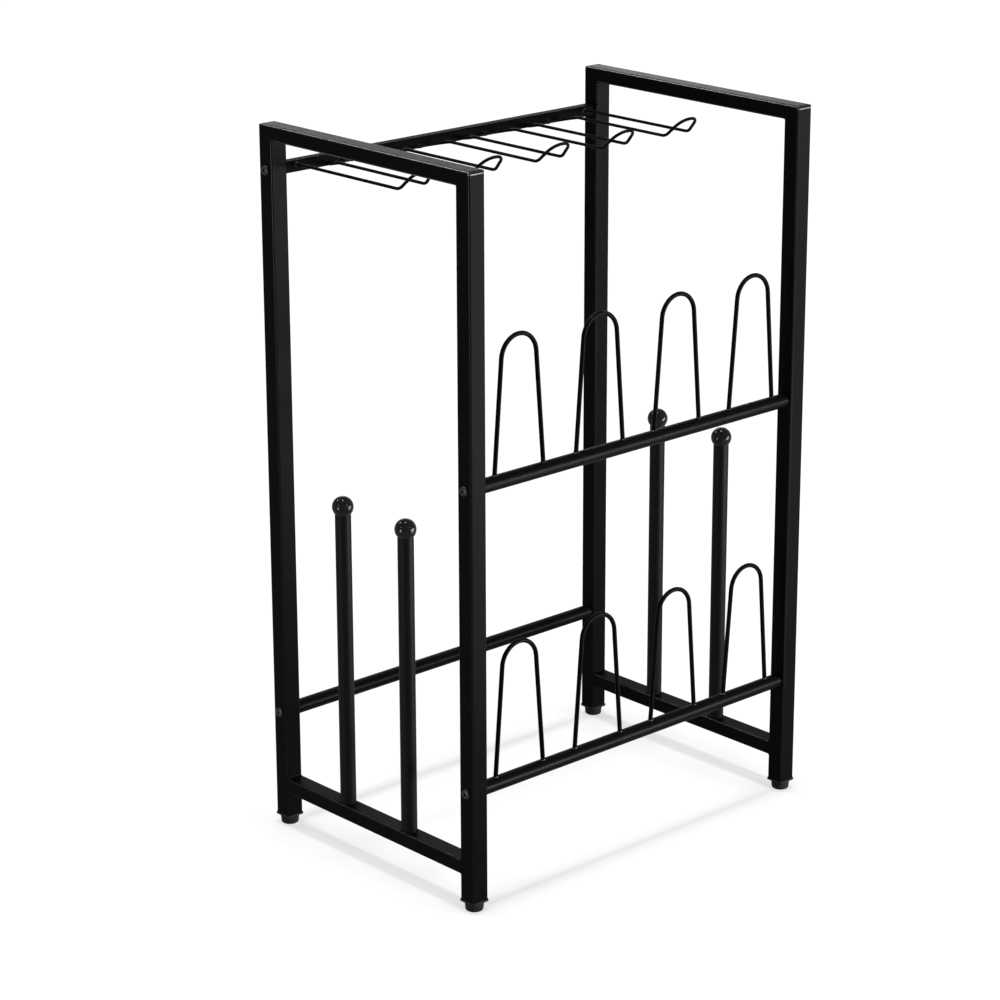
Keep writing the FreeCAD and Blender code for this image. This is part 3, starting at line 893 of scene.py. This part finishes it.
class BOOTRACK_OT_shoe_loops(bpy.types.Operator):
    """Bent wires for the shoe loops, and a weld bead under each leg"""

    bl_idname = "boot_rack.shoe_loops"
    bl_label = "Shoe loops"

    def execute(self, context):
        sizes = context.scene.boot_rack_sizes
        coat = finish_named("wire_powder_coat")
        for level in LEVELS:
            bar = box_middle(f"{level}_shoe_bar")
            beads = []
            for number in LOOPS:
                node = f"{level}_shoe_loop_{number}"
                low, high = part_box(node)
                middle = (low.x + high.x) / 2
                path = rounded_path(loop_corners(middle, bar.y, bar.z, sizes))
                skin = wire_skin(path, sizes.loop_wire / 2, LOOP_ACROSS)
                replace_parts(new_piece(f"{level}_loop_wire_{number}", [skin], coat), node)
                for side in (-1.0, 1.0):
                    foot_x = middle + side * sizes.loop_spread / 2
                    beads.append(saddle_bead(foot_x, -side * sizes.loop_lean, bar.y, bar.z, sizes))
            new_piece(f"{level}_loop_welds", beads, finish_named("weld_powder_coat"))
        return {"FINISHED"}


class BOOTRACK_OT_boot_hooks(bpy.types.Operator):
    """The boot hooks, one wire bent to and fro into five prongs, and the weld beads that hold it to its bar"""

    bl_idname = "boot_rack.boot_hooks"
    bl_label = "Boot hooks"

    def execute(self, context):
        sizes = context.scene.boot_rack_sizes
        wire_low, wire_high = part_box("hook_wire")
        face_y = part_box("hook_bar")[0].y
        radius, half = sizes.hook_wire / 2, sizes.prong_width / 2
        run_z = wire_low.z + radius
        z = run_z + sizes.rear_dip
        prongs = np.linspace(wire_low.x + radius + half, wire_high.x - radius - half, PRONGS)
        ends = [(np.array((x, face_y, z)), 0.0) for x in (prongs[0] - half, prongs[-1] + half)]
        corners = [ends[0], *prong_corners(prongs[0], face_y, z, sizes)]
        for before, x in zip(prongs, prongs[1:]):
            corners += rear_corners(before + half, x - half, face_y, z, sizes) + prong_corners(x, face_y, z, sizes)
        skin = wire_skin(rounded_path([*corners, ends[1]]), radius, HOOK_ACROSS)
        piece = new_piece("boot_hook_wire", [skin], finish_named("wire_powder_coat"))
        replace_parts(piece, "hook_wire")
        beads = [wire_end_bead(place[0], face_y, z, sizes) for place, _ in ends]
        for gap in (prongs[:-1] + prongs[1:]) / 2:
            for x in (gap - sizes.rear_weld_spread / 2, gap + sizes.rear_weld_spread / 2):
                for side in (1.0, -1.0):
                    beads.append(rear_run_bead(x, face_y, run_z, side, sizes))
        new_piece("hook_wire_welds", beads, finish_named("weld_powder_coat"))
        return {"FINISHED"}


class BOOTRACK_OT_bolts(bpy.types.Operator):
    """Black oxide on the bolts and zinc plate on the nuts inside the bars"""

    bl_idname = "boot_rack.bolts"
    bl_label = "Bolts and nuts"

    def execute(self, context):
        dress(finish_named("bolt_black_oxide"), *(f"{bar}_bolts" for bar in BARS))
        dress(finish_named("zinc_plated_steel"), *(f"{bar}_end_nuts" for bar in BARS))
        return {"FINISHED"}


class BOOTRACK_OT_feet(bpy.types.Operator):
    """Grained plastic on the foot inserts and pads, and zinc plate on their studs"""

    bl_idname = "boot_rack.feet"
    bl_label = "Levelling feet"

    def execute(self, context):
        corners = [f"{side}_{end}" for side in SIDES for end in ENDS]
        dress(finish_named("foot_plastic_grain"), *(f"{c}_foot_{p}" for c in corners for p in ("insert", "pad")))
        dress(finish_named("zinc_plated_steel"), *(f"{c}_foot_stud" for c in corners))
        return {"FINISHED"}


# Each soft lamp's place, the point it faces, its width and height, and its face's brightness.
LAMPS = {
    "key_lamp": ((4.0, -4.8, 0.53), (0.0, 0.0, 0.45), 2.4, 1.0, 46.0),
    "rim_lamp": ((1.1, 1.4, 1.14), (0.0, 0.0, 0.95), 1.4, 0.25, 5.5),
    "front_lamp": ((0.35, -3.6, 2.3), (0.0, 0.0, 0.5), 0.35, 0.35, 85.0),
    "side_lamp": ((-3.6, 0.0, 2.15), (0.0, 0.0, 0.5), 0.35, 0.35, 35.0),
    "low_right_lamp": ((1.5, -3.65, 0.35), (0.0, 0.0, 0.35), 0.6, 0.6, 80.0),
    "low_left_lamp": ((-3.5, 0.0, 0.35), (0.0, 0.0, 0.35), 0.5, 0.6, 55.0),
    "card_lamp": ((0.8, -1.35, 0.14), (-0.28, -0.19, 0.4), 0.7, 0.25, 20.0),
    "low_card_lamp": ((0.25, -0.75, 0.06), (-0.28, -0.19, 0.2), 0.4, 0.1, 8.0),
    "back_lamp": ((-1.2, 2.8, 3.5), (0.0, 0.0, 0.9), 0.7, 0.7, 28.0),
}
SUN_STRENGTH, SUN_WIDTH = 0.8 * math.pi, math.radians(8.0)
FLOOR_REACH, FLOOR_RINGS, FLOOR_SIDES = 57.0, 12, 96
FAR_FLOOR = 4.0  # where the floor's far lift is reached
VIEW_DEPTH = 200.0  # how far the camera sees


def area_lamp(name, place, target, width, height, brightness):
    """A rectangular lamp. A lit white surface has a brightness of 1, and the lamp's power is its own times pi times
    its area."""
    data = bpy.data.lights.new(name, "AREA")
    data.shape, data.size, data.size_y = "RECTANGLE", width, height
    data.energy = brightness * math.pi * width * height
    lamp = add_object(name, data)
    lamp.location = place
    lamp.rotation_euler = (Vector(target) - Vector(place)).to_track_quat("-Z", "Y").to_euler()
    lamp.visible_camera = False


def seen_directly(shader, stage):
    """1 for camera and transmission rays, the room's share for glossy rays, and 0 for the rest."""
    camera, glossy, transmission = (
        shader.node("ShaderNodeLightPath", out=f"Is {ray} Ray") for ray in ("Camera", "Glossy", "Transmission")
    )
    return (camera + glossy * stage.room_gloss + transmission).clamped()


class BOOTRACK_OT_stage(bpy.types.Operator):
    """Plain pale floor, soft lamps and the camera"""

    bl_idname = "boot_rack.stage"
    bl_label = "Stage"

    def execute(self, context):
        scene = context.scene
        stage = scene.boot_rack_stage
        self.floor(stage)
        self.room(scene, stage)
        self.lamps()
        data = bpy.data.cameras.new("camera")
        data.lens, data.clip_end = stage.lens, VIEW_DEPTH
        camera = add_object("camera", data)
        tilt, roll, turn = stage.camera_turn
        turned = Matrix.Rotation(turn, 4, "Z") @ Matrix.Rotation(tilt, 4, "X") @ Matrix.Rotation(roll, 4, "Z")
        camera.matrix_world = Matrix.Translation(stage.camera_place) @ turned
        scene.camera = camera
        scene.view_settings.view_transform = "Standard"
        return {"FINISHED"}

    def floor(self, stage):
        """A round floor: rings at its reach times s squared, for even steps of s from 0.02 to 1, and a fan within."""
        shader = Shader(bpy.data.materials.new("floor_white"))
        matt = shader.node("ShaderNodeBsdfDiffuse", {"Color": rgba(stage.floor_colour)})
        place = shader.node("ShaderNodeTexCoord", out="Object")
        away = shader.node("ShaderNodeVectorMath", {0: place}, {"operation": "LENGTH"}, out="Value")
        near, far = (rgba((glow, glow, glow)) for glow in (stage.floor_glow, stage.floor_glow_far))
        glow = shader.blend((away / FAR_FLOOR).clamped(), near, far)
        lift = shader.node("ShaderNodeEmission", {"Color": glow, "Strength": seen_directly(shader, stage)})
        both = shader.node("ShaderNodeAddShader", {0: matt, 1: lift})
        shader.node("ShaderNodeOutputMaterial", {"Surface": both})
        angle, step = turns(FLOOR_SIDES), np.arange(FLOOR_SIDES)
        reach = FLOOR_REACH * np.linspace(0.02, 1.0, FLOOR_RINGS)[:, None] ** 2
        rings = joined(reach * np.cos(angle), reach * np.sin(angle), 0.0)
        points = np.concatenate((rings.reshape(-1, 3), [(0.0, 0.0, 0.0)]))
        quads = grid_faces(FLOOR_RINGS, FLOOR_SIDES, False)
        hub = joined(len(points) - 1, step, (step + 1) % FLOOR_SIDES)
        mesh = bpy.data.meshes.new("floor")
        mesh.from_pydata(points.tolist(), [], quads[:, ::-1].tolist() + hub.tolist())
        mesh.materials.append(shader.owner)
        floor = add_object("floor", mesh)

    def room(self, scene, stage):
        """White all round where it is seen directly, dimmer in reflections, and a low even light elsewhere."""
        shader = Shader(bpy.data.worlds.new("room"))
        scene.world = shader.owner
        strength = seen_directly(shader, stage) * (1.0 - stage.sky_light) + stage.sky_light
        sky = shader.node("ShaderNodeBackground", {"Color": (1.0, 1.0, 1.0, 1.0), "Strength": strength})
        shader.node("ShaderNodeOutputWorld", {"Surface": sky})

    def lamps(self):
        """The soft lamps, and a broad sun from straight above."""
        for name, lamp in LAMPS.items():
            area_lamp(name, *lamp)
        sun = bpy.data.lights.new("top_lamp", "SUN")
        sun.energy, sun.angle = SUN_STRENGTH, SUN_WIDTH
        add_object("top_lamp", sun)


# ---- panel and registration ----

STEPS = (
    BOOTRACK_OT_side_frames, BOOTRACK_OT_uprights, BOOTRACK_OT_ball_caps, BOOTRACK_OT_cross_bars,
    BOOTRACK_OT_shoe_loops, BOOTRACK_OT_boot_hooks, BOOTRACK_OT_bolts, BOOTRACK_OT_feet, BOOTRACK_OT_stage,
)


class BOOTRACK_PT_panel(bpy.types.Panel):
    """Lists the rack's steps, sizes and colours in the sidebar"""

    bl_label = "Boot rack"
    bl_idname = "BOOTRACK_PT_panel"
    bl_space_type = "VIEW_3D"
    bl_region_type = "UI"
    bl_category = "Boot rack"

    def draw(self, context):
        for group in ("sizes", "finish", "stage"):
            settings = getattr(context.scene, f"boot_rack_{group}")
            box = self.layout.box()
            box.label(text=group.capitalize())
            for name in settings.__annotations__:
                box.prop(settings, name)
        for step in STEPS:
            self.layout.operator(step.bl_idname)


GROUPS = {"boot_rack_sizes": RackSizes, "boot_rack_finish": RackFinish, "boot_rack_stage": RackStage}
CLASSES = (*GROUPS.values(), *STEPS, BOOTRACK_PT_panel)


def register():
    """Adds the classes and hangs the three groups of settings on the scene."""
    for cls in CLASSES:
        bpy.utils.register_class(cls)
    for name, group in GROUPS.items():
        setattr(bpy.types.Scene, name, PointerProperty(type=group))


def unregister():
    """Takes away what register added, in reverse."""
    for name in GROUPS:
        delattr(bpy.types.Scene, name)
    for cls in reversed(CLASSES):
        bpy.utils.unregister_class(cls)


def main():
    """Runs every step."""
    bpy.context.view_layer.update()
    register()
    for step in STEPS:
        getattr(bpy.ops.boot_rack, step.bl_idname.split(".")[1])()


if __name__ == "__main__":
    main()
